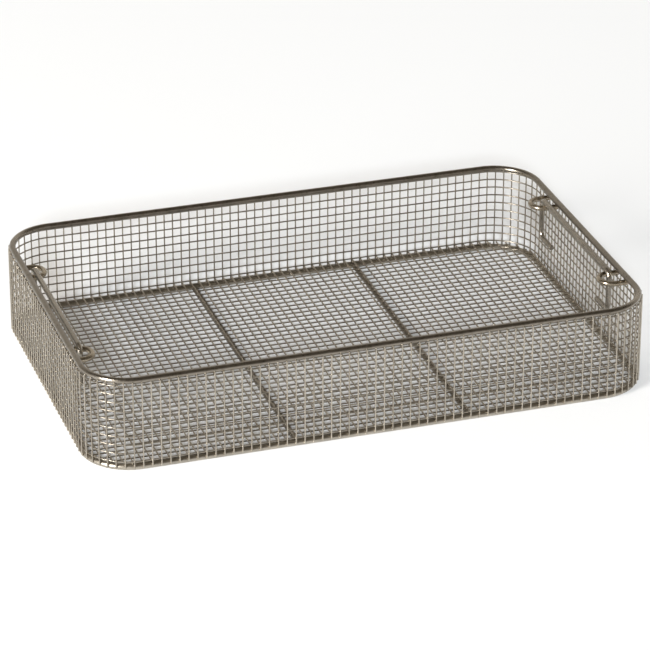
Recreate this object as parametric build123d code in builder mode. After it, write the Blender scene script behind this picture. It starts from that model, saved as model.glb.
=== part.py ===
"""Wire instrument basket for steam sterilization, with a drop handle that slides in wire eyelets at each end.

Millimetres, +Z up, +X along the length. The origin is the centre of the base, on the surface it stands on.
"""

import os
from math import pi, sqrt

from build123d import *

# Outside size, taken over the upright wires
basket_length = 405.0
basket_width = 260.0
basket_height = 69.0
corner_radius = 36.0

# Round bar of the rim and of the base frame
rim_bar = 4.5
base_bar = 4.5

# Round bars are drawn with flat sides, so that pieces seat on flats and bends have few facets
bar_sides = 8

# Mesh of thin wire in two layers, spot-welded at the crossings
mesh_wire = 1.0
mesh_pitch = 6.3
first_ring_height = 6.7
floor_edge_gap = 0.3

# How far the ends of the uprights lap onto the rim and onto the base frame
upright_rim_lap = 1.85
upright_base_lap = 3.25

# Two bars across the underside of the floor, at unequal distances from the middle
floor_bar = 4.0
floor_bar_left_place = -58.0
floor_bar_right_place = 66.5

# Drop handles
handle_wire = 4.0
handle_bend = 5.0
handle_arm_offset = 65.0
handle_foot_length = 21.0
handle_travel = 21.4
handle_end_chamfer = 0.5

# Eyelets that the handles slide in, with the room round each arm
eyelet_wire = 4.0
arm_room_inboard = 2.4
arm_room_outboard = 6.4
arm_room_at_tip = 3.9
grip_to_rim_gap = 3.0
stop_gap = 0.3

# Layers of the wall from the outside inwards: uprights, then ring wires, with the bars level with the rings
wall_thickness = mesh_wire * 2
upright_inset = mesh_wire / 2
rim_inset = mesh_wire + rim_bar / 2
base_inset = mesh_wire + base_bar / 2
handle_inset = mesh_wire + rim_bar + grip_to_rim_gap + handle_wire / 2

# Heights of the bars, and of the ring wires that fit under the rim
rim_height = basket_height - rim_bar / 2
base_height = base_bar / 2
upright_bottom = base_bar - upright_base_lap
upright_top = basket_height - rim_bar + upright_rim_lap
ring_room = basket_height - rim_bar - mesh_wire / 2 - first_ring_height
ring_count = int(ring_room / mesh_pitch) + 1
top_ring_height = first_ring_height + (ring_count - 1) * mesh_pitch

# The grip rests on the eyelets, and the feet meet them from below when it is lifted
eyelet_height = top_ring_height - (mesh_wire + eyelet_wire) / 2
stop_height = (eyelet_wire + handle_wire) / 2 + stop_gap
grip_height = eyelet_height + stop_height
handle_foot_height = eyelet_height - stop_height - handle_travel

# Numbers of wires, and the even steps between them on the straight walls and round the corners
long_side = basket_length - 2 * corner_radius
short_side = basket_width - 2 * corner_radius
long_gaps = round(long_side / mesh_pitch)
short_gaps = round(short_side / mesh_pitch)
corner_gaps = round(corner_radius * pi / 2 / mesh_pitch)
long_step = long_side / long_gaps
short_step = short_side / short_gaps
corner_step = 90 / corner_gaps

os.makedirs("parts", exist_ok=True)


def save(builder, name):
    """Labels a finished piece and writes its STEP file."""
    builder.part.label = name
    export_step(builder.part, f"parts/{name}.step")


def loop_round_basket(inset, height):
    """Closed line round the basket, at this distance inside its outer face."""
    with BuildSketch(Plane.XY.offset(height)) as outline:
        RectangleRounded(basket_length - 2 * inset, basket_width - 2 * inset, corner_radius - inset)
    return outline.sketch.face().outer_wire()


def bar_section(diameter):
    """Section of a round bar, with flats at its top, bottom and sides."""
    RegularPolygon(diameter / 2, bar_sides, major_radius=False, rotation=180 / bar_sides)


def start_plane(line):
    """Plane square to the start of a line, with its first direction upwards."""
    return Plane(origin=line @ 0, x_dir=(0, 0, 1), z_dir=line % 0)


# Rim: one round bar, bent round four corners and closed by a butt weld
with BuildPart() as top_rim:
    rim_line = loop_round_basket(rim_inset, rim_height)
    with BuildSketch(start_plane(rim_line)):
        bar_section(rim_bar)
    sweep(path=rim_line)
save(top_rim, "top_rim")

# Base frame: the same bar at the foot of the walls, which the basket stands on
with BuildPart() as base_frame:
    base_line = loop_round_basket(base_inset, base_height)
    with BuildSketch(start_plane(base_line)):
        bar_section(base_bar)
    sweep(path=base_line)
save(base_frame, "base_frame")

# Floor bars: coped at both ends to sit against the base frame, flush with its top
for name, place in {"floor_bar_left": floor_bar_left_place, "floor_bar_right": floor_bar_right_place}.items():
    with BuildPart() as floor_bar_piece:
        with BuildSketch(Plane.XZ):
            with Locations((place, base_bar - floor_bar / 2)):
                bar_section(floor_bar)
        extrude(amount=basket_width / 2 - base_inset, both=True)
        add(base_frame.part, mode=Mode.SUBTRACT)
    save(floor_bar_piece, name)

# Floor sheet: trimmed all round to lie on the base frame, just inside the ring wires
floor_length = basket_length - 2 * (wall_thickness + floor_edge_gap)
floor_width = basket_width - 2 * (wall_thickness + floor_edge_gap)
floor_radius = corner_radius - wall_thickness - floor_edge_gap
long_wire_count = int((floor_width - mesh_wire) / mesh_pitch) + 1
cross_wire_count = int((floor_length - mesh_wire) / mesh_pitch) + 1


def row_places(wire_count):
    """Middles of a row of floor wires, one mesh step apart and even about the basket's middle."""
    return [(number - (wire_count - 1) / 2) * mesh_pitch for number in range(wire_count)]


def trimmed_length(run, across, place):
    """Length of a floor wire at this place, cut square where its outer side meets the sheet's rounded corner."""
    past_bend = abs(place) + mesh_wire / 2 - (across / 2 - floor_radius)
    if past_bend <= 0:
        return run
    return run - 2 * floor_radius + 2 * sqrt(floor_radius**2 - past_bend**2)


# Floor, lower layer: long wires that lie on the base frame and on the floor bars
with BuildPart() as floor_long_wires:
    with BuildSketch(Plane.XY.offset(base_bar)):
        for place in row_places(long_wire_count):
            with Locations((0, place)):
                Rectangle(trimmed_length(floor_length, floor_width, place), mesh_wire)
    extrude(amount=mesh_wire)
save(floor_long_wires, "floor_long_wires")

# Floor, upper layer: cross wires welded to the long ones at every crossing
with BuildPart() as floor_cross_wires:
    with BuildSketch(Plane.XY.offset(base_bar + mesh_wire)):
        for place in row_places(cross_wire_count):
            with Locations((place, 0)):
                Rectangle(mesh_wire, trimmed_length(floor_width, floor_length, place))
    extrude(amount=mesh_wire)
save(floor_cross_wires, "floor_cross_wires")

# Wall, outer layer: straight uprights, welded to the outer faces of both frames
upright_length = upright_top - upright_bottom
for name, side in {"front_wall_uprights": -1, "back_wall_uprights": 1}.items():
    with BuildPart() as wall_uprights:
        with BuildSketch(Plane.XY.offset(upright_bottom)):
            with Locations((0, side * (basket_width / 2 - upright_inset))):
                with GridLocations(long_step, 0, long_gaps + 1, 1):
                    Rectangle(mesh_wire, mesh_wire)
        extrude(amount=upright_length)
    save(wall_uprights, name)

for name, side in {"left_wall_uprights": -1, "right_wall_uprights": 1}.items():
    with BuildPart() as wall_uprights:
        with BuildSketch(Plane.XY.offset(upright_bottom)):
            with Locations((side * (basket_length / 2 - upright_inset), 0)):
                with GridLocations(0, short_step, 1, short_gaps + 1):
                    Rectangle(mesh_wire, mesh_wire)
        extrude(amount=upright_length)
    save(wall_uprights, name)

# The corners' names stand in the order of the quarter turns
corner_ends = {
    "back_right_corner_uprights": (1, 1),
    "back_left_corner_uprights": (-1, 1),
    "front_left_corner_uprights": (-1, -1),
    "front_right_corner_uprights": (1, -1),
}
for quarter, (name, (end, side)) in enumerate(corner_ends.items()):
    with BuildPart() as corner_uprights:
        with BuildSketch(Plane.XY.offset(upright_bottom)):
            with Locations((end * long_side / 2, side * short_side / 2)):
                with PolarLocations(
                    corner_radius - upright_inset,
                    corner_gaps - 1,
                    start_angle=quarter * 90 + corner_step,
                    angular_range=90 - 2 * corner_step,
                    endpoint=True,
                ):
                    Rectangle(mesh_wire, mesh_wire)
        extrude(amount=upright_length)
    save(corner_uprights, name)

# Wall, inner layer: each ring wire is one closed loop against the inner faces of the uprights
for number in range(ring_count):
    height = first_ring_height + number * mesh_pitch
    with BuildPart() as ring_wire:
        with BuildSketch(Plane.XY.offset(height - mesh_wire / 2)):
            RectangleRounded(
                basket_length - 2 * mesh_wire,
                basket_width - 2 * mesh_wire,
                corner_radius - mesh_wire,
            )
            RectangleRounded(
                basket_length - 2 * wall_thickness,
                basket_width - 2 * wall_thickness,
                corner_radius - wall_thickness,
                mode=Mode.SUBTRACT,
            )
        extrude(amount=mesh_wire)
    save(ring_wire, f"wall_ring_wire_{number + 1:02d}")

ends = {"left": -1, "right": 1}
sides = {"front": -1, "back": 1}

# Eyelets: four equal wire staples, welded under the top ring wire and against the uprights
eyelet_width = arm_room_inboard + handle_wire + arm_room_outboard + eyelet_wire
eyelet_offset = handle_arm_offset + (arm_room_outboard - arm_room_inboard) / 2
staple_foot = basket_length / 2 - mesh_wire
staple_tip = basket_length / 2 - handle_inset - handle_wire / 2 - arm_room_at_tip - eyelet_wire / 2
staple_turn = staple_tip + eyelet_width / 2
with BuildPart() as handle_eyelets:
    for end in ends.values():
        for side in sides.values():
            near = side * eyelet_offset - eyelet_width / 2
            far = side * eyelet_offset + eyelet_width / 2
            with BuildLine(Plane.XY.offset(eyelet_height)) as staple:
                Line((end * staple_foot, near), (end * staple_turn, near))
                ThreePointArc(
                    (end * staple_turn, near),
                    (end * staple_tip, side * eyelet_offset),
                    (end * staple_turn, far),
                )
                Line((end * staple_turn, far), (end * staple_foot, far))
            with BuildSketch(start_plane(staple.line)):
                bar_section(eyelet_wire)
            sweep(path=staple.line)
save(handle_eyelets, "handle_eyelets")

# Handles: a grip, two arms through the eyelets, and a foot on each arm that stops it when it is lifted
for end_name, end in ends.items():
    with BuildPart() as handle:
        with BuildLine(Plane.YZ.offset(end * (basket_length / 2 - handle_inset))) as bail:
            foot_tip = handle_arm_offset - handle_foot_length
            FilletPolyline(
                (-foot_tip, handle_foot_height),
                (-handle_arm_offset, handle_foot_height),
                (-handle_arm_offset, grip_height),
                (handle_arm_offset, grip_height),
                (handle_arm_offset, handle_foot_height),
                (foot_tip, handle_foot_height),
                radius=handle_bend,
            )
        with BuildSketch(start_plane(bail.line)):
            bar_section(handle_wire)
        sweep(path=bail.line)
        foot_ends = handle.faces().filter_by(Axis.Y).sort_by(lambda face: abs(face.center().Y))[:2]
        chamfer(foot_ends.edges(), handle_end_chamfer)
    save(handle, f"{end_name}_handle")

print("grip", round(grip_height, 3), "feet", round(handle_foot_height, 3), "rings", ring_count)
print("uprights", 2 * (long_gaps + 1) + 2 * (short_gaps + 1) + 4 * (corner_gaps - 1))
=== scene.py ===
# %% [markdown]
# # A wire basket for instruments
# The basket is round steel wire and round steel bar, welded and then polished in a bath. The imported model
# gives every piece as a plain solid at its real place: bars with flat sides, mesh wires with square sections.
# This lesson keeps those places and draws each piece again as the round, drawn, welded metal that it is.
# Nothing here moves or resizes the basket. All lengths are in metres.

import math

import bpy
from mathutils import Matrix, Vector


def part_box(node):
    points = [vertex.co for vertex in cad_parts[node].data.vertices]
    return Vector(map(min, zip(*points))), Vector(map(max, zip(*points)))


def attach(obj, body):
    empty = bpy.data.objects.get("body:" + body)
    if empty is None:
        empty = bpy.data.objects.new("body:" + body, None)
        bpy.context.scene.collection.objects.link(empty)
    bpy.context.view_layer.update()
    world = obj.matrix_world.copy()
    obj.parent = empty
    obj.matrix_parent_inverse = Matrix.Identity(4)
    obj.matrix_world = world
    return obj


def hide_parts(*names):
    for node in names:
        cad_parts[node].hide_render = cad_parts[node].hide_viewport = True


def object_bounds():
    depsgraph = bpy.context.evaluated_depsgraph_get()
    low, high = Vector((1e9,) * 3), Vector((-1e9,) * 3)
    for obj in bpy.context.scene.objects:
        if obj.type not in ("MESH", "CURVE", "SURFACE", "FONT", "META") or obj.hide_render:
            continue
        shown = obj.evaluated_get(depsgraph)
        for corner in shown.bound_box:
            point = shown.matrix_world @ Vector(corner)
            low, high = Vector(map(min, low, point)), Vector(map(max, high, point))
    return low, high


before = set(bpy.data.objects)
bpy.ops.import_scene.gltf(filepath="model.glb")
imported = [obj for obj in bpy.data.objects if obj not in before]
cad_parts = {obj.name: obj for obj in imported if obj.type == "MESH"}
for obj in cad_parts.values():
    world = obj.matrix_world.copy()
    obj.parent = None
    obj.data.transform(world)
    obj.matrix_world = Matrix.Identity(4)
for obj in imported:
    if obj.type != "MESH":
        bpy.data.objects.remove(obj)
cad_low, cad_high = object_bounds()
print("basket, in mm:", [round(1000 * side, 1) for side in cad_high - cad_low])

# %% [markdown]
# ## Sizes
# A lesson that repeats numbers from another drawing soon disagrees with it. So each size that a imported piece
# can give is read from its box: a bar's thickness is its height, the wall's corner starts where the last
# straight upright stands, and the step between ring wires is the height from one to the next. Only what a box
# can't say, such as the radius of a handle's bend, is written here.

# %% Sizes from the frame, and the few that its boxes don't give
half_length, half_width = cad_high.x, cad_high.y
rim_low, rim_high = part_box("top_rim")
base_low, base_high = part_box("base_frame")
_, back_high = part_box("back_wall_uprights")
ring_names = sorted(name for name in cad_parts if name.startswith("wall_ring_wire"))
first_ring_low, first_ring_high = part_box(ring_names[0])
second_ring_low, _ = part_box(ring_names[1])

rim_bar = rim_high.z - rim_low.z
base_bar = base_high.z - base_low.z
mesh_wire = first_ring_high.z - first_ring_low.z
mesh_pitch = second_ring_low.z - first_ring_low.z
first_ring_height = first_ring_low.z + mesh_wire / 2
corner_radius = half_length - (back_high.x - mesh_wire / 2)
straight_x = half_length - corner_radius
straight_y = half_width - corner_radius

eyelet_width = 0.0168
handle_bend = 0.005
handle_foot_length = 0.021
handle_end_round = 0.0006
ground_back = 0.001
print("corner radius", round(1000 * corner_radius, 2), "mm, mesh step", round(1000 * mesh_pitch, 2), "mm")

# %% [markdown]
# ## Camera
# The basket is seen from its front left, from about 26 degrees above the table, with a long lens: its long
# edges stay almost parallel. The camera is aimed with a track rotation and then turned a little about its own
# line of sight, because the picture isn't quite level. It is made before anything else, so that every draft
# can be looked at from the right place.

# %% Camera
camera_place = Vector((-0.7019, -2.1560, 1.1477))
camera_aim = Vector((0.0039, 0.0031, 0.02))
camera_roll = math.radians(0.1405)
focal_length_px = 3568
picture_side_px = 650
sensor_width_mm = 36

camera_data = bpy.data.cameras.new("camera")
camera_data.sensor_width = sensor_width_mm
camera_data.lens = focal_length_px / picture_side_px * sensor_width_mm
camera = bpy.data.objects.new("camera", camera_data)
bpy.context.scene.collection.objects.link(camera)
camera_turn = (camera_aim - camera_place).to_track_quat("-Z", "Y").to_matrix().to_4x4()
camera.matrix_world = Matrix.Translation(camera_place) @ camera_turn @ Matrix.Rotation(camera_roll, 4, "Z")
bpy.context.scene.camera = camera
print("lens", round(camera_data.lens, 1), "mm, distance", round((camera_aim - camera_place).length, 2), "m")

# %% [markdown]
# ## Two helpers for node trees
# Shaders and Geometry Nodes are both trees of nodes, and building them by script means the same three steps
# each time: make a node, set its options, feed its inputs. `add_node` does all three. Some nodes hold several
# sockets of one name, one for each kind of data, and only one of them is in use, so `used` looks for that one.

# %% Helpers for node trees
def used(sockets, name):
    """The socket of this name that is in use."""
    return next(socket for socket in sockets if socket.name == name and socket.enabled)


def add_node(tree, kind, inputs=None, **options):
    """Adds a node, sets its options, then feeds its inputs with other nodes' outputs or with plain values."""
    node = tree.nodes.new(kind)
    for option, value in options.items():
        setattr(node, option, value)
    for name, value in (inputs or {}).items():
        socket = used(node.inputs, name)
        if isinstance(value, bpy.types.NodeSocket):
            tree.links.new(value, socket)
        else:
            socket.default_value = value
    return node


def result(node, name=None):
    """One output of a node: the named one, or the first that is in use."""
    return used(node.outputs, name) if name else next(socket for socket in node.outputs if socket.enabled)


# %% [markdown]
# ## Steel
# Drawn bar carries fine lines along its length, left by the die. They turn with the bar round every bend, so
# they can't be painted in the object's own straight axes. Each bar therefore brings two attributes: `run`,
# its place along the bar, laid round a large circle so that a closed loop has no seam, and `around`, its place
# round the section. A four-dimensional noise reads both, and gives lines that are long one way and thin the
# other.
#
# Over the lines lie a slow change of tone, small stains from the steam, and brighter metal at the bends. That
# brightness is partly rubbed wear and partly a painted highlight: a lighter colour that stands in for the lamp's
# shine on the rim's corners and the handles' bends. The metal is warm and rather dark: it has been through many
# hot, wet cycles. Polishing in a bath leaves it soft rather than mirror-bright, so the roughness is middling and
# follows the lines. Rim, base, eyelets and handles are cut from four bars, and so they get four tones of the one
# recipe.

# %% Steel for bars
noise_low, noise_high = 0.3, 0.7
line_waves, tone_waves, stain_waves, wear_highlight_waves = 2600.0, 45.0, 260.0, 900.0
stain_from, stain_full, stain_most = 0.52, 0.72, 0.75
shade_least, shade_most = 0.86, 1.1
wear_highlight_from, wear_highlight_full, wear_highlight_least = 0.35, 0.6, 0.4
rubbed_roughness = 0.2


def maths(tree, operation, first, second=0.0):
    """One arithmetic step on values."""
    node = add_node(tree, "ShaderNodeMath", operation=operation)
    for socket, value in zip(node.inputs, (first, second)):
        if isinstance(value, bpy.types.NodeSocket):
            tree.links.new(value, socket)
        else:
            socket.default_value = value
    return result(node)


def mapped(tree, value, low, high, to_low, to_high):
    """Stretches a value from one range to another."""
    inputs = {"Value": value, "From Min": low, "From Max": high, "To Min": to_low, "To Max": to_high}
    return result(add_node(tree, "ShaderNodeMapRange", inputs))


def blended(tree, share, first, second, blend_type="MIX"):
    """Mixes two colours by a share."""
    inputs = {"Factor": share, "A": first, "B": second}
    return result(add_node(tree, "ShaderNodeMix", inputs, data_type="RGBA", blend_type=blend_type))


def noise(tree, scale, detail, vector=None, **inputs):
    """A noise value at a scale in waves per metre. It stays mostly between noise_low and noise_high."""
    place = vector or result(add_node(tree, "ShaderNodeTexCoord"), "Object")
    wanted = {"Vector": place, "Scale": scale, "Detail": detail, **inputs}
    dimensions = "4D" if "W" in inputs else "3D"
    return used(add_node(tree, "ShaderNodeTexNoise", wanted, noise_dimensions=dimensions).outputs, "Fac")


def drawn_lines(tree, scale):
    """Thin lines that follow a bar round its bends."""
    run = add_node(tree, "ShaderNodeAttribute", attribute_name="run")
    around = add_node(tree, "ShaderNodeAttribute", attribute_name="around")
    run_parts = add_node(tree, "ShaderNodeSeparateXYZ", {"Vector": result(run, "Vector")})
    around_parts = add_node(tree, "ShaderNodeSeparateXYZ", {"Vector": result(around, "Vector")})
    parts = {"X": result(run_parts, "X"), "Y": result(run_parts, "Y"), "Z": result(around_parts, "X")}
    place = result(add_node(tree, "ShaderNodeCombineXYZ", parts))
    return noise(tree, scale, 4.0, place, W=result(around_parts, "Y"))


def new_finish(name):
    """An empty material, and its tree."""
    material = bpy.data.materials.new(name)
    material.use_nodes = True
    material.node_tree.nodes.clear()
    return material, material.node_tree


def bare_metal(tree, colour, rough, relief, strength, depth):
    """Ends a tree with bare metal that has a fine relief, as deep as this in metres."""
    bump = add_node(tree, "ShaderNodeBump", {"Height": relief, "Strength": strength, "Distance": depth})
    shader = add_node(tree, "ShaderNodeBsdfPrincipled", {
        "Base Color": colour, "Metallic": 1.0, "Roughness": rough, "Normal": result(bump)})
    add_node(tree, "ShaderNodeOutputMaterial", {"Surface": result(shader)})


def steel(name, clean, stained, roughness, worn_and_highlight=None):
    """Drawn and polished steel: lines, slow tones, stains, and bright wear with a painted highlight where the
    bar bends.
    """
    material, tree = new_finish(name)
    lines = drawn_lines(tree, line_waves)
    tone = noise(tree, tone_waves, 3.0)
    stain = mapped(tree, noise(tree, stain_waves, 5.0), stain_from, stain_full, 0.0, stain_most)
    colour = blended(tree, stain, (*clean, 1.0), (*stained, 1.0))
    shade = mapped(tree, tone, noise_low, noise_high, shade_least, shade_most)
    grey = result(add_node(tree, "ShaderNodeCombineColor", {"Red": shade, "Green": shade, "Blue": shade}))
    colour = blended(tree, 1.0, colour, grey, "MULTIPLY")
    rough = mapped(tree, lines, noise_low, noise_high, roughness - 0.07, roughness + 0.09)
    # At the bends the colour turns lighter: partly rubbed wear, partly a painted highlight.
    if worn_and_highlight:
        bend = result(add_node(tree, "ShaderNodeAttribute", attribute_name="bend"), "Fac")
        patchy = mapped(tree, noise(tree, wear_highlight_waves, 4.0), wear_highlight_from, wear_highlight_full, wear_highlight_least, 1.0)
        rubbed_and_highlight = maths(tree, "MULTIPLY", bend, patchy)
        colour = blended(tree, rubbed_and_highlight, colour, (*worn_and_highlight, 1.0))
        smoothed = {"Value": rubbed_and_highlight, "To Min": rough, "To Max": rubbed_roughness}
        rough = result(add_node(tree, "ShaderNodeMapRange", smoothed))
    bare_metal(tree, colour, rough, lines, 0.35, 0.00004)
    return material


# The lighter bend colours of the rim and the handles are partly wear and partly a painted highlight.
bar_steel = steel("bar_steel", (0.27, 0.243, 0.206), (0.19, 0.165, 0.13), 0.31, worn_and_highlight=(0.37, 0.34, 0.295))
base_steel = steel("base_steel", (0.42, 0.385, 0.33), (0.32, 0.285, 0.23), 0.37)
eyelet_steel = steel("eyelet_steel", (0.43, 0.378, 0.30), (0.32, 0.268, 0.197), 0.26)
handle_steel = steel("handle_steel", (0.34, 0.312, 0.27), (0.25, 0.223, 0.18), 0.28, worn_and_highlight=(0.78, 0.73, 0.64))
print("bar finishes:", bar_steel.name, base_steel.name, eyelet_steel.name, handle_steel.name)

# %% [markdown]
# ## Steel for wire and welds
# The mesh wire is one millimetre thick, too thin for drawing lines to show. What shows instead is that no two
# wires are quite alike, so the wire tree below gives each wire a random `tone`, and the finish reads it. The
# uprights, the outer layer, are a little lighter than the rings and the floor: that is painted light, for the
# light that their outward faces catch. The spot welds and the beads have melted and set again, which leaves
# them rounder and smoother, with a straw-coloured bloom that the bath didn't take off.

# %% Steel for wire and welds
speck_waves, grain_waves, bloom_waves, ripple_waves = 700.0, 5200.0, 320.0, 2400.0
speck_from, speck_most = 0.4, 0.5
bloom_from, bloom_full = 0.4, 0.65


def wire_steel_finish(name, dark, light, roughness):
    """Thin bright wire, each one of its own tone."""
    material, tree = new_finish(name)
    tone = result(add_node(tree, "ShaderNodeAttribute", attribute_name="tone"), "Fac")
    own = blended(tree, tone, (*dark, 1.0), (*light, 1.0))
    speck = mapped(tree, noise(tree, speck_waves, 3.0), speck_from, noise_high, 0.0, speck_most)
    colour = blended(tree, speck, own, (*dark, 1.0))
    grain = noise(tree, grain_waves, 2.0)
    rough = mapped(tree, grain, noise_low, noise_high, roughness - 0.06, roughness + 0.08)
    bare_metal(tree, colour, rough, grain, 0.25, 0.00003)
    return material


def weld_steel_finish(name, bright, straw, roughness):
    """Metal that has melted and set: smooth, with a straw-coloured bloom in patches."""
    material, tree = new_finish(name)
    bloom = mapped(tree, noise(tree, bloom_waves, 3.0), bloom_from, bloom_full, 0.0, 1.0)
    colour = blended(tree, bloom, (*bright, 1.0), (*straw, 1.0))
    ripple = noise(tree, ripple_waves, 2.0)
    rough = mapped(tree, ripple, noise_low, noise_high, roughness - 0.05, roughness + 0.1)
    bare_metal(tree, colour, rough, ripple, 0.3, 0.00006)
    return material


# The uprights' lighter colours are painted light: they stand in for the light that the outer layer's faces
# catch.
upright_lit_steel = wire_steel_finish("upright_lit_steel", (0.37, 0.334, 0.28), (0.53, 0.486, 0.418), 0.32)
ring_steel = wire_steel_finish("ring_steel", (0.30, 0.271, 0.228), (0.43, 0.395, 0.34), 0.32)
floor_steel = wire_steel_finish("floor_steel", (0.31, 0.276, 0.227), (0.44, 0.398, 0.337), 0.32)
weld_steel = weld_steel_finish("weld_steel", (0.46, 0.425, 0.37), (0.36, 0.31, 0.235), 0.26)
print("wire finishes:", upright_lit_steel.name, ring_steel.name, floor_steel.name, weld_steel.name)

# %% [markdown]
# ## From a tree to a piece
# Geometry Nodes are only a recipe until they are run. `run_tree` puts a tree on an object and sets its inputs
# through their identifiers, because two inputs may share a name. `keep_piece` then takes the finished shape
# as a plain mesh, drops the recipe, puts the piece on the body that it rides on, and hides the imported solids
# that it stands for.

# %% Helpers for trees and pieces
def new_shape_tree(name, sizes):
    """An empty Geometry Nodes tree with these named inputs, and the node that gives them."""
    tree = bpy.data.node_groups.new(name, "GeometryNodeTree")
    tree.interface.new_socket("Geometry", in_out="OUTPUT", socket_type="NodeSocketGeometry")
    tree.interface.new_socket("Geometry", in_out="INPUT", socket_type="NodeSocketGeometry")
    for size, kind in sizes.items():
        tree.interface.new_socket(size, in_out="INPUT", socket_type="NodeSocket" + kind)
    return tree, add_node(tree, "NodeGroupInput")


def run_tree(source, tree, **values):
    """Puts the tree on the object and sets its inputs, each by its identifier."""
    modifier = source.modifiers.new(tree.name, "NODES")
    modifier.node_group = tree
    inputs = [item for item in tree.interface.items_tree if item.in_out == "INPUT"]
    identifiers = {item.name: item.identifier for item in inputs}
    for name, value in values.items():
        modifier[identifiers[name]] = value
    return source


def keep_piece(source, name, body, slot, *nodes):
    """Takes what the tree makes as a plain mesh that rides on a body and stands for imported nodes."""
    shaped = source.evaluated_get(bpy.context.evaluated_depsgraph_get())
    mesh = bpy.data.meshes.new_from_object(shaped)
    mesh.name = name
    piece = bpy.data.objects.new(name, mesh)
    bpy.context.scene.collection.objects.link(piece)
    bpy.data.objects.remove(source)
    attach(piece, body)
    if nodes:
        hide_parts(*nodes)
    mesh.calc_loop_triangles()
    print(name, "has", len(mesh.loop_triangles), "triangles")
    return piece


def lines_object(name, lines, closed=False):
    """A mesh of bare edges: each line is a list of its corner points."""
    points, edges = [], []
    for line in lines:
        start = len(points)
        points += line
        edges += [(start + step, start + step + 1) for step in range(len(line) - 1)]
        if closed:
            edges.append((start + len(line) - 1, start))
    mesh = bpy.data.meshes.new(name)
    mesh.from_pydata([tuple(point) for point in points], edges, [])
    source = bpy.data.objects.new(name, mesh)
    bpy.context.scene.collection.objects.link(source)
    return source


# %% [markdown]
# ## The bent bar tree
# Rim, base frame, floor bars, eyelets, handles and even the ring wires are one thing: a round bar that
# follows a line with rounded corners. A curve with a bevel would do, but it would give no say over the
# attributes that the steel reads. The tree takes bare corner points, rounds them with Fillet Curve, marks each
# point with its run and its bend, and sweeps a circle along. Copies in a row make the stack of ring wires.

# %% The bent bar tree
run_stretch = 0.02
full_turn = 2 * math.pi
sharp_angle = 0.9
straight_from, bent_from = 0.99, 0.8
bar_seed, upright_seed, long_seed, cross_seed, spot_seed, bead_seed = 3, 11, 12, 13, 21, 31


def on_circle(tree, share, radius):
    """A point on a circle, at a share of a full turn."""
    angle = maths(tree, "MULTIPLY", share, full_turn)
    parts = {
        "X": maths(tree, "MULTIPLY", maths(tree, "COSINE", angle), radius),
        "Y": maths(tree, "MULTIPLY", maths(tree, "SINE", angle), radius),
    }
    return result(add_node(tree, "ShaderNodeCombineXYZ", parts))


def marked(tree, geometry, name, value, data_type="FLOAT_VECTOR"):
    """Stores a value on every point under a name that a finish can read."""
    inputs = {"Geometry": geometry, "Name": name, "Value": value}
    options = {"data_type": data_type, "domain": "POINT"}
    return result(add_node(tree, "GeometryNodeStoreNamedAttribute", inputs, **options))


def swept_bar(tree, line, thickness, sides):
    """Sweeps a circle along a line, with capped ends, and shades it round but its end edges sharp."""
    radius = maths(tree, "DIVIDE", thickness, 2.0)
    circle = {"Resolution": sides, "Radius": radius}
    ring = result(add_node(tree, "GeometryNodeCurvePrimitiveCircle", circle))
    share = result(add_node(tree, "GeometryNodeSplineParameter"), "Factor")
    ring = marked(tree, ring, "around", on_circle(tree, share, radius))
    swept = {"Curve": line, "Profile Curve": ring, "Fill Caps": True}
    bar = result(add_node(tree, "GeometryNodeCurveToMesh", swept))
    bar = result(add_node(tree, "GeometryNodeSetShadeSmooth", {"Geometry": bar, "Shade Smooth": True}))
    angle = result(add_node(tree, "GeometryNodeInputMeshEdgeAngle"), "Unsigned Angle")
    at_ends = maths(tree, "GREATER_THAN", angle, sharp_angle)
    sharp = {"Geometry": bar, "Selection": at_ends, "Shade Smooth": False}
    return result(add_node(tree, "GeometryNodeSetShadeSmooth", sharp, domain="EDGE"))


def own_toned(tree, placed, seed):
    """Gives each copy a random tone of its own, then makes one plain shape of the copies."""
    own_tone = add_node(tree, "FunctionNodeRandomValue", {"Seed": seed}, data_type="FLOAT")
    inputs = {"Geometry": placed, "Name": "tone", "Value": result(own_tone)}
    options = {"data_type": "FLOAT", "domain": "INSTANCE"}
    placed = result(add_node(tree, "GeometryNodeStoreNamedAttribute", inputs, **options))
    return result(add_node(tree, "GeometryNodeRealizeInstances", {"Geometry": placed}))


def end_shape_tree(tree, given, whole):
    """Gives the whole shape its finish and ends the tree."""
    finish = {"Geometry": whole, "Material": result(given, "Finish")}
    whole = result(add_node(tree, "GeometryNodeSetMaterial", finish))
    add_node(tree, "NodeGroupOutput", {"Geometry": whole})


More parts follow.
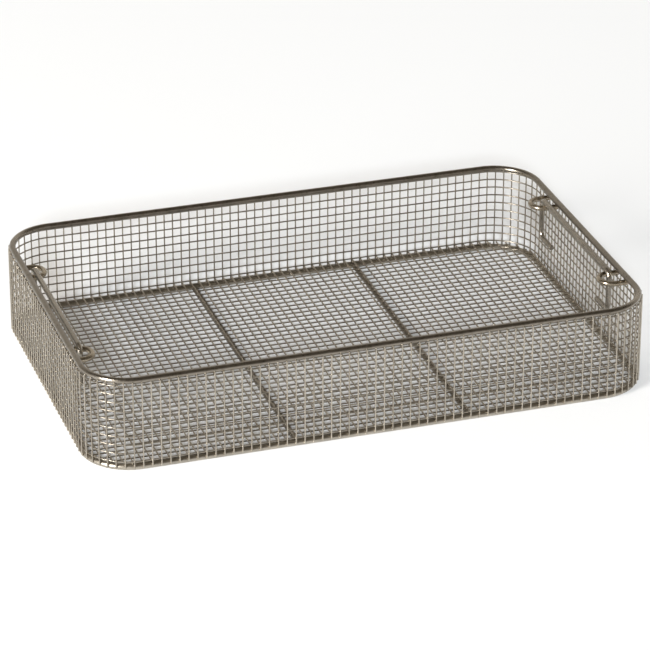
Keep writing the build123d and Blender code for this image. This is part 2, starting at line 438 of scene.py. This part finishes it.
def bent_bar_tree():
    """Corner points in, a bent round bar out, with copies in a row where they are asked for."""
    tree, given = new_shape_tree("bent_bar", {
        "Thickness": "Float", "Sides": "Int", "Bend radius": "Float", "Bend steps": "Int",
        "Copies": "Int", "Copy step": "Vector", "Seed": "Int", "Finish": "Material"})
    line = result(add_node(tree, "GeometryNodeMeshToCurve", {"Mesh": result(given, "Geometry")}))
    rounded = {"Curve": line, "Count": result(given, "Bend steps"), "Radius": result(given, "Bend radius"),
               "Limit Radius": True}
    line = result(add_node(tree, "GeometryNodeFilletCurve", rounded, mode="POLY"))

    length = result(add_node(tree, "GeometryNodeSplineLength"), "Length")
    share = result(add_node(tree, "GeometryNodeSplineParameter"), "Factor")
    line = marked(tree, line, "run", on_circle(tree, share, maths(tree, "MULTIPLY", length, run_stretch)))
    tangent = add_node(tree, "GeometryNodeInputTangent")
    parts = add_node(tree, "ShaderNodeSeparateXYZ", {"Vector": result(tangent)})
    sizes = [maths(tree, "ABSOLUTE", result(parts, axis)) for axis in "XYZ"]
    straightness = maths(tree, "MAXIMUM", maths(tree, "MAXIMUM", sizes[0], sizes[1]), sizes[2])
    bend_share = mapped(tree, straightness, straight_from, bent_from, 0.0, 1.0)
    line = marked(tree, line, "bend", bend_share, "FLOAT")

    bar = swept_bar(tree, line, result(given, "Thickness"), result(given, "Sides"))
    row = {"Count": result(given, "Copies"), "Offset": result(given, "Copy step")}
    row = result(add_node(tree, "GeometryNodeMeshLine", row, mode="OFFSET"))
    placed = result(add_node(tree, "GeometryNodeInstanceOnPoints", {"Points": row, "Instance": bar}))
    end_shape_tree(tree, given, own_toned(tree, placed, result(given, "Seed")))
    return tree


bent_bar = bent_bar_tree()
print("bent bar tree:", len(bent_bar.nodes), "nodes")


def bend(name, lines, finish, thickness, radius, closed=False, sides=24, steps=24, copies=1, step=(0, 0, 0)):
    """Bends round bar along lines of corner points."""
    return run_tree(lines_object(name + "_line", lines, closed), bent_bar, **{
        "Thickness": thickness, "Sides": sides, "Bend radius": radius, "Bend steps": steps,
        "Copies": copies, "Copy step": step, "Seed": bar_seed, "Finish": finish})


# %% [markdown]
# ## Rim and base frame
# Both are bar of one thickness, bent round four corners and closed with a butt weld. They lie just inside the
# upright wires, level with the ring wires. `loop_corners` gives the four points where the straight runs would
# meet, and the tree rounds them.

# %% Rim and base frame
def loop_corners(inset, height):
    """The four corner points of a line round the basket, at this distance inside its outer face."""
    x, y = half_length - inset, half_width - inset
    return [Vector((x, -y, height)), Vector((x, y, height)), Vector((-x, y, height)), Vector((-x, -y, height))]


rim_inset = half_length - rim_high.x + rim_bar / 2
base_inset = half_length - base_high.x + base_bar / 2
rim_height = (rim_low.z + rim_high.z) / 2
base_height = (base_low.z + base_high.z) / 2

rim = bend("rim", [loop_corners(rim_inset, rim_height)], bar_steel, rim_bar,
           corner_radius - rim_inset, closed=True)
keep_piece(rim, "rim_bar", "basket", "frame_bar", "top_rim")
base = bend("base", [loop_corners(base_inset, base_height)], base_steel, base_bar,
            corner_radius - base_inset, closed=True)
keep_piece(base, "base_bar", "basket", "frame_bar", "base_frame")

# %% [markdown]
# ## Floor bars
# Two bars carry the floor from below. Each runs from one side of the base frame to the other and is welded to
# it, so its ends are drawn to reach into the round of the base bar, where the weld hides them.

# %% Floor bars
def floor_bar_line(node):
    """The middle line of a floor bar, from front to back."""
    low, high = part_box(node)
    middle = (low + high) / 2
    reach = half_width - base_inset - base_bar / 6
    return [Vector((middle.x, -reach, middle.z)), Vector((middle.x, reach, middle.z))]


floor_bar_names = ("floor_bar_left", "floor_bar_right")
floor_bar_low, floor_bar_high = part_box(floor_bar_names[0])
floor_bar_thickness = floor_bar_high.x - floor_bar_low.x
floor_bar_lines = [floor_bar_line(node) for node in floor_bar_names]
floor_bars = bend("floor_bars", floor_bar_lines, bar_steel, floor_bar_thickness, 0.0, steps=1)
keep_piece(floor_bars, "floor_bars", "basket", "frame_bar", *floor_bar_names)

# %% [markdown]
# ## Ring wires
# The wall's inner layer is a stack of closed wires at one step. They are drawn once and copied upwards inside
# the tree, where each copy also gets its own tone.

# %% Ring wires
ring_inset = mesh_wire * 1.5
rings = bend("rings", [loop_corners(ring_inset, first_ring_height)], ring_steel, mesh_wire,
             corner_radius - ring_inset, closed=True, sides=10, steps=18, copies=len(ring_names),
             step=(0, 0, mesh_pitch))
keep_piece(rings, "ring_wires", "basket", "mesh_wire", *ring_names)

# %% [markdown]
# ## The straight wire tree
# Uprights and floor wires are straight. The tree gets bare points, one at the start of each wire, that carry
# the wire's length as `reach`. It makes one wire a metre long and stretches it to each reach, so hundreds of
# wires cost no more to describe than one.

# %% The straight wire tree
def straight_wires_tree():
    """Start points with a reach in, straight wires out, all running one way."""
    tree, given = new_shape_tree("straight_wires", {
        "Thickness": "Float", "Sides": "Int", "Turn": "Rotation", "Seed": "Int", "Finish": "Material"})
    line = result(add_node(tree, "GeometryNodeCurvePrimitiveLine", {"End": (0.0, 0.0, 1.0)}))
    wire = swept_bar(tree, line, result(given, "Thickness"), result(given, "Sides"))
    reach = result(add_node(tree, "GeometryNodeInputNamedAttribute", {"Name": "reach"}, data_type="FLOAT"))
    size = result(add_node(tree, "ShaderNodeCombineXYZ", {"X": 1.0, "Y": 1.0, "Z": reach}))
    starts, turn = result(given, "Geometry"), result(given, "Turn")
    inputs = {"Points": starts, "Instance": wire, "Rotation": turn, "Scale": size}
    placed = result(add_node(tree, "GeometryNodeInstanceOnPoints", inputs))
    end_shape_tree(tree, given, own_toned(tree, placed, result(given, "Seed")))
    return tree


straight_wires = straight_wires_tree()


def points_object(name, places, attribute=None, values=(), kind="FLOAT"):
    """A mesh of bare points, each with a value of its own under the attribute's name."""
    mesh = bpy.data.meshes.new(name)
    mesh.from_pydata([tuple(place) for place in places], [], [])
    if attribute:
        stored = mesh.attributes.new(attribute, kind, "POINT")
        field = "vector" if kind == "FLOAT_VECTOR" else "value"
        flat = [part for value in values for part in value] if kind == "FLOAT_VECTOR" else list(values)
        stored.data.foreach_set(field, flat)
    source = bpy.data.objects.new(name, mesh)
    bpy.context.scene.collection.objects.link(source)
    return source


def cut_wires(name, starts, reaches, turn, seed, finish):
    """Straight wires from these starts, each of its own reach."""
    source = points_object(name + "_starts", starts, "reach", reaches)
    return run_tree(source, straight_wires, **{
        "Thickness": mesh_wire, "Sides": 10, "Turn": turn, "Seed": seed, "Finish": finish})


# %% [markdown]
# ## Uprights
# The wall's outer layer stands all round the basket at nearly one step. `wall_places` walks round the wall: it
# divides each straight stretch and each corner into whole steps, as near to the mesh step as they come, and
# gives each upright's place and the direction that the wall faces there. The welds use the same list later.
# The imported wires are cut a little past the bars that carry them. Here the ends are ground back after welding,
# as a hand that runs along the basket would want them, so no end stands out below the base bar's widest line.

# %% Uprights
def even_steps(length):
    """How many whole mesh steps divide a length best."""
    return round(length / mesh_pitch)


def wall_places(inset):
    """Places round the wall, this far inside its outer face, each with its outward direction in degrees."""
    x, y, radius = half_length - inset, half_width - inset, corner_radius - inset
    long_gaps, short_gaps = even_steps(2 * straight_x), even_steps(2 * straight_y)
    corner_gaps = even_steps(corner_radius * math.pi / 2)
    places = []
    for step in range(long_gaps + 1):
        along = -straight_x + step * 2 * straight_x / long_gaps
        places += [(along, -y, 270.0), (along, y, 90.0)]
    for step in range(short_gaps + 1):
        along = -straight_y + step * 2 * straight_y / short_gaps
        places += [(-x, along, 180.0), (x, along, 0.0)]
    for quarter, (end, side) in enumerate([(1, 1), (-1, 1), (-1, -1), (1, -1)]):
        for step in range(1, corner_gaps):
            turn = 90.0 * (quarter + step / corner_gaps)
            across = radius * math.cos(math.radians(turn))
            away = radius * math.sin(math.radians(turn))
            places.append((end * straight_x + across, side * straight_y + away, turn))
    return places


upright_low = base_height
upright_high = rim_height - ground_back
upright_nodes = [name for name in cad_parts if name.endswith("_uprights")]
upright_starts = [Vector((x, y, upright_low)) for x, y, turn in wall_places(mesh_wire / 2)]
upright_reach = upright_high - upright_low
upright_reaches = [upright_reach] * len(upright_starts)
uprights = cut_wires("uprights", upright_starts, upright_reaches, (0, 0, 0), upright_seed, upright_lit_steel)
keep_piece(uprights, "upright_wires", "basket", "mesh_wire", *upright_nodes)
print(len(upright_starts), "uprights")

# %% [markdown]
# ## Floor wires
# The floor is a sheet of the same mesh, trimmed to the inside of the walls. Long wires lie on the base frame
# and on the two bars. Cross wires lie on the long ones. Near the corners the trim line curves, so each wire
# asks `trimmed_reach` how far it may go.

# %% Floor wires
long_low, long_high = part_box("floor_long_wires")
cross_low, cross_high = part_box("floor_cross_wires")
trim_inset = half_length - long_high.x


def trimmed_reach(half_run, half_across, across):
    """Half the length of a floor wire that lies this far from the middle, up to the rounded trim line."""
    radius = corner_radius - trim_inset
    past = abs(across) + mesh_wire / 2 - (half_across - trim_inset - radius)
    if past <= 0:
        return half_run - trim_inset
    return half_run - trim_inset - radius + math.sqrt(radius**2 - past**2)


def row_places(low, high):
    """Middles of the wires of one layer, at the mesh step, between its box's two sides."""
    count = round((high - low - mesh_wire) / mesh_pitch)
    return [low + mesh_wire / 2 + step * mesh_pitch for step in range(count + 1)]


long_rows = row_places(long_low.y, long_high.y)
cross_rows = row_places(cross_low.x, cross_high.x)
long_reaches = [trimmed_reach(half_length, half_width, y) for y in long_rows]
cross_reaches = [trimmed_reach(half_width, half_length, x) for x in cross_rows]
long_height = (long_low.z + long_high.z) / 2
cross_height = (cross_low.z + cross_high.z) / 2
quarter_turn = math.pi / 2

long_wires = cut_wires(
    "long_wires", [Vector((-reach, y, long_height)) for y, reach in zip(long_rows, long_reaches)],
    [2 * reach for reach in long_reaches], (0, quarter_turn, 0), long_seed, floor_steel)
keep_piece(long_wires, "floor_long_wires_round", "basket", "mesh_wire", "floor_long_wires")
cross_wires = cut_wires(
    "cross_wires", [Vector((x, -reach, cross_height)) for x, reach in zip(cross_rows, cross_reaches)],
    [2 * reach for reach in cross_reaches], (-quarter_turn, 0, 0), cross_seed, floor_steel)
keep_piece(cross_wires, "floor_cross_wires_round", "basket", "mesh_wire", "floor_cross_wires")
print(len(long_rows), "long wires and", len(cross_rows), "cross wires")

# %% [markdown]
# ## Spot welds
# Where two wires cross, a current has melted them together. The joint is a small flat button between them, and
# it is what catches the light all over the mesh. There are thousands, so each is a ball of few faces, pressed
# flat, turned to face out of its layer, and made a little larger or smaller by chance. One tree does this for
# any list of places.

# %% The spot weld tree
def spot_welds_tree():
    """Places with a facing in, flattened buttons of metal out."""
    tree, given = new_shape_tree("spot_welds", {
        "Width": "Float", "Height": "Float", "Depth": "Float", "Segments": "Int", "Spread": "Float",
        "Seed": "Int", "Finish": "Material"})
    ball = {"Segments": result(given, "Segments"), "Rings": 5, "Radius": 0.5}
    button = result(add_node(tree, "GeometryNodeMeshUVSphere", ball), "Mesh")
    button = result(add_node(tree, "GeometryNodeSetShadeSmooth", {"Geometry": button, "Shade Smooth": True}))
    parts = {"X": result(given, "Depth"), "Y": result(given, "Width"), "Z": result(given, "Height")}
    size = result(add_node(tree, "ShaderNodeCombineXYZ", parts))
    button = result(add_node(tree, "GeometryNodeTransform", {"Geometry": button, "Scale": size}))
    least = maths(tree, "SUBTRACT", 1.0, result(given, "Spread"))
    most = maths(tree, "ADD", 1.0, result(given, "Spread"))
    limits = {"Min": least, "Max": most, "Seed": result(given, "Seed")}
    chance = result(add_node(tree, "FunctionNodeRandomValue", limits, data_type="FLOAT"))
    facing = add_node(tree, "GeometryNodeInputNamedAttribute", {"Name": "facing"}, data_type="FLOAT_VECTOR")
    facing = result(facing)
    inputs = {"Points": result(given, "Geometry"), "Instance": button, "Rotation": facing, "Scale": chance}
    placed = result(add_node(tree, "GeometryNodeInstanceOnPoints", inputs))
    end_shape_tree(tree, given, result(add_node(tree, "GeometryNodeRealizeInstances", {"Geometry": placed})))
    return tree


spot_welds = spot_welds_tree()


def weld(name, places, facings, width, height, depth, spread=0.12, segments=8, seed=spot_seed):
    """Buttons of weld metal at these places; each facing is a turn of the button's own X axis."""
    source = points_object(name + "_places", places, "facing", facings, "FLOAT_VECTOR")
    return run_tree(source, spot_welds, **{
        "Width": width, "Height": height, "Depth": depth, "Segments": segments, "Spread": spread,
        "Seed": seed, "Finish": weld_steel})


# %% Spot welds of the walls
spot_width = 1.35 * mesh_wire
spot_depth = 0.9 * mesh_wire
ring_heights = [first_ring_height + number * mesh_pitch for number in range(len(ring_names))]
wall_spots, wall_facings = [], []
for x, y, turn in wall_places(mesh_wire):
    for height in ring_heights:
        wall_spots.append((x, y, height))
        wall_facings.append((0.0, 0.0, math.radians(turn)))
for x, y, turn in wall_places(mesh_wire):
    for height in (upright_low, upright_high):
        wall_spots.append((x, y, height))
        wall_facings.append((0.0, 0.0, math.radians(turn)))
keep_piece(weld("wall_spots", wall_spots, wall_facings, spot_width, spot_width, spot_depth),
           "wall_spot_welds", "basket", "mesh_wire")

# %% Spot welds of the floor
layer_height = long_high.z
up = (0.0, quarter_turn, 0.0)
floor_spots = [(x, y, layer_height)
               for x, x_reach in zip(cross_rows, cross_reaches)
               for y, y_reach in zip(long_rows, long_reaches)
               if abs(y) < x_reach and abs(x) < y_reach]
frame_line = half_length - base_inset
frame_radius = corner_radius - base_inset
for y, reach in zip(long_rows, long_reaches):
    past = abs(y) - straight_y
    over_frame = frame_line if past <= 0 else straight_x + math.sqrt(max(frame_radius**2 - past**2, 0.0))
    ends = [over_frame, -over_frame] if past < frame_radius else []
    floor_spots += [(x, y, long_low.z) for x in ends + [line[0].x for line in floor_bar_lines]]
keep_piece(weld("floor_spots", floor_spots, [up] * len(floor_spots), spot_width, spot_width, spot_depth),
           "floor_spot_welds", "basket", "mesh_wire")
print(len(wall_spots), "welds in the walls and", len(floor_spots), "in the floor")

# %% [markdown]
# ## Eyelets
# Each handle slides in two staples of bar, welded under the top ring wire with their ends against the
# uprights. A staple is a U: two legs, and a half circle that stands in over the basket's inside. With the bend
# radius at half its width, the two rounded corners meet and make that half circle.

# %% Eyelets
eyelet_low, eyelet_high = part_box("handle_eyelets")
eyelet_wire = eyelet_high.z - eyelet_low.z
eyelet_height = (eyelet_low.z + eyelet_high.z) / 2
eyelet_offset = eyelet_high.y - eyelet_wire / 2 - eyelet_width / 2
eyelet_points = [vertex.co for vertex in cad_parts["handle_eyelets"].data.vertices]
eyelet_tip = min(abs(point.x) for point in eyelet_points) + eyelet_wire / 2
eyelet_foot = eyelet_high.x
handle_names = ("left_handle", "right_handle")


def staple_line(end, side):
    """The four corner points of one staple."""
    near = side * eyelet_offset - eyelet_width / 2
    far = side * eyelet_offset + eyelet_width / 2
    return [Vector((end * x, y, eyelet_height)) for x, y in
            ((eyelet_foot, near), (eyelet_tip, near), (eyelet_tip, far), (eyelet_foot, far))]


staple_lines = [staple_line(end, side) for end in (-1, 1) for side in (-1, 1)]
eyelets = bend("eyelets", staple_lines, eyelet_steel, eyelet_wire, eyelet_width / 2, sides=20, steps=14)
keep_piece(eyelets, "eyelet_staples", "basket", "frame_bar", "handle_eyelets")

# %% [markdown]
# ## Handles
# Each handle is one wire: a grip, two arms that drop through the eyelets, and two feet that turn towards each
# other so that the handle can't be pulled out. The grip and the bends are rubbed bright, and the bends' lighter
# colour is also a painted highlight. The cut ends are broken with a small bevel, as they are on anything that a
# gloved hand reaches for.

# %% Handles
def bail_line(node):
    """The corner points of a handle: foot, arm, grip, arm, foot."""
    low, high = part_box(node)
    wire = high.x - low.x
    x = (low.x + high.x) / 2
    arm = high.y - wire / 2
    grip_height = high.z - wire / 2
    foot_height = low.z + wire / 2
    foot_tip = arm - handle_foot_length
    corners = [(-foot_tip, foot_height), (-arm, foot_height), (-arm, grip_height),
               (arm, grip_height), (arm, foot_height), (foot_tip, foot_height)]
    return [Vector((x, y, z)) for y, z in corners], wire


for node in handle_names:
    line, handle_wire = bail_line(node)
    handle = bend(node, [line], handle_steel, handle_wire, handle_bend, sides=24, steps=12)
    ends = handle.modifiers.new("broken_ends", "BEVEL")
    ends.width = handle_end_round
    ends.segments = 3
    ends.limit_method = "ANGLE"
    ends.angle_limit = math.radians(60)
    keep_piece(handle, node + "_wire", node, "handle_bar", node)

# %% [markdown]
# ## Weld beads
# Thicker pieces are joined with beads, not spots: small drops of metal in the corner between two rounds. They
# use the spot weld tree again, with larger and longer drops, in pairs: on both sides of each staple leg, where
# it touches the top ring wire, and at the ends of the floor bars.

# %% Weld beads
bead_places, bead_facings = [], []
bead_width, bead_height, bead_length = 0.0018, 0.0016, 0.0026
bead_shift = 0.45
wall_line_x = half_length - ring_inset
for end in (-1, 1):
    for side in (-1, 1):
        for leg in (-1, 1):
            y = side * eyelet_offset + leg * eyelet_width / 2
            for across in (-1, 1):
                bead_places.append((end * wall_line_x, y + across * bead_shift * eyelet_wire, eyelet_high.z))
                bead_facings.append((0.0, 0.0, 0.0))
for line in floor_bar_lines:
    for side in (-1, 1):
        for across in (-1, 1):
            x = line[0].x + across * bead_shift * floor_bar_thickness
            bead_places.append((x, side * (half_width - base_inset - bead_shift * base_bar), base_height))
            bead_facings.append((0.0, 0.0, quarter_turn))
beads = weld("beads", bead_places, bead_facings, bead_width, bead_height, bead_length,
             segments=16, seed=bead_seed)
keep_piece(beads, "weld_beads", "basket", "frame_bar")

# %% [markdown]
# ## Studio
# A shiny thing shows its surroundings, so its surroundings are half of its finish. The table is white. The
# room is dim in front and overhead, pale towards the back, and has a faint warm glow just above the table. One
# narrow, tall window stands low on the left. A bar then shows a dark line between two lighter ones, and a
# small bright spot where it bends towards the window.
#
# The table gets most of its light from a sun lamp behind the camera that lights nothing else. The basket only
# holds that light back, so its shadow falls behind it, where the mesh frames it, and the steel isn't
# overlit. The sun is a little cool, because the window and the room are warm and the paper should look
# neutral. A little light of the paper's own, seen by the camera and by reflections alike, brings it to white.

# %% Table
table_radius = 14.0
table_sides = 96
paper_white = 0.82
paper_roughness = 0.9
paper_glow = 0.04

table_mesh = bpy.data.meshes.new("table")
table_edge = [(table_radius * math.cos(full_turn * step / table_sides),
               table_radius * math.sin(full_turn * step / table_sides), 0.0) for step in range(table_sides)]
table_mesh.from_pydata(table_edge, [], [list(range(table_sides))])
table = bpy.data.objects.new("table", table_mesh)
bpy.context.scene.collection.objects.link(table)

paper = bpy.data.materials.new("paper")
paper.use_nodes = True
paper_tree = paper.node_tree
paper_tree.nodes.clear()
rays = add_node(paper_tree, "ShaderNodeLightPath")
seen = maths(paper_tree, "MAXIMUM", result(rays, "Is Camera Ray"), result(rays, "Is Glossy Ray"))
seen = maths(paper_tree, "MAXIMUM", seen, result(rays, "Is Transmission Ray"))
glow_strength = maths(paper_tree, "MULTIPLY", seen, paper_glow)
paper_shader = add_node(paper_tree, "ShaderNodeBsdfPrincipled", {
    "Base Color": (paper_white, paper_white, paper_white, 1.0), "Roughness": paper_roughness,
    "Emission Color": (1.0, 1.0, 1.0, 1.0), "Emission Strength": glow_strength})
add_node(paper_tree, "ShaderNodeOutputMaterial", {"Surface": result(paper_shader)})
table_mesh.materials.append(paper)

# %% Room, lamps and view transform
room_front = (0.13, 0.115, 0.098, 1.0)
room_back = (0.71, 0.665, 0.60, 1.0)
room_ceiling = (0.14, 0.12, 0.095, 1.0)
room_low = (0.43, 0.385, 0.32, 1.0)
towards_back = (0.31, 0.95, 0.0)
back_from, back_full = 0.15, 0.7
ceiling_from, ceiling_full = 0.55, 0.9
low_full, low_until = 0.12, 0.42

room = bpy.data.worlds.new("room")
bpy.context.scene.world = room
room.use_nodes = True
room_tree = room.node_tree
room_tree.nodes.clear()
direction = result(add_node(room_tree, "ShaderNodeTexCoord"), "Generated")
upwards = result(add_node(room_tree, "ShaderNodeSeparateXYZ", {"Vector": direction}), "Z")
backwards = add_node(room_tree, "ShaderNodeVectorMath", operation="DOT_PRODUCT")
room_tree.links.new(direction, backwards.inputs[0])
backwards.inputs[1].default_value = towards_back
back_share = mapped(room_tree, used(backwards.outputs, "Value"), back_from, back_full, 0.0, 1.0)
ceiling_share = mapped(room_tree, upwards, ceiling_from, ceiling_full, 0.0, 1.0)
low_share = mapped(room_tree, upwards, low_full, low_until, 1.0, 0.0)
room_colour = blended(room_tree, low_share, room_front, room_low)
room_colour = blended(room_tree, back_share, room_colour, room_back)
room_colour = blended(room_tree, ceiling_share, room_colour, room_ceiling)
room_light = add_node(room_tree, "ShaderNodeBackground", {"Color": room_colour, "Strength": 1.0})
add_node(room_tree, "ShaderNodeOutputWorld", {"Surface": result(room_light)})


def place_from(azimuth, elevation, distance):
    """A place seen from the basket in this direction; azimuth 0 is +X and 90 is +Y, in degrees."""
    turn, rise = math.radians(azimuth), math.radians(elevation)
    level = distance * math.cos(rise)
    return Vector((level * math.cos(turn), level * math.sin(turn), distance * math.sin(rise)))


def add_lamp(name, kind, place, **settings):
    """A lamp at a place, aimed at the basket."""
    data = bpy.data.lights.new(name, kind)
    for setting, value in settings.items():
        setattr(data, setting, value)
    lamp = bpy.data.objects.new(name, data)
    bpy.context.scene.collection.objects.link(lamp)
    lamp.matrix_world = Matrix.Translation(place) @ (-place).to_track_quat("-Z", "Y").to_matrix().to_4x4()
    return lamp


window_place = place_from(-153, 19, 5.0)
window_width, window_height = 1.4, 2.9
window_power, sun_power = 330.0, 4.85
warm_light, cool_light = (1.0, 0.968, 0.922), (0.90, 0.95, 1.0)
sun_place = place_from(-109, 24, 3.0)
sun_spread = math.radians(8)
window = add_lamp("window", "AREA", window_place, shape="RECTANGLE", size=window_width,
                  size_y=window_height, energy=window_power, color=warm_light)
table_sun = add_lamp("table_sun", "SUN", sun_place, energy=sun_power, angle=sun_spread, color=cool_light)
table_only = bpy.data.collections.new("table_only")
table_only.objects.link(table)
table_sun.light_linking.receiver_collection = table_only
bpy.context.scene.view_settings.view_transform = "Standard"
print("lamps:", window.name, table_sun.name)
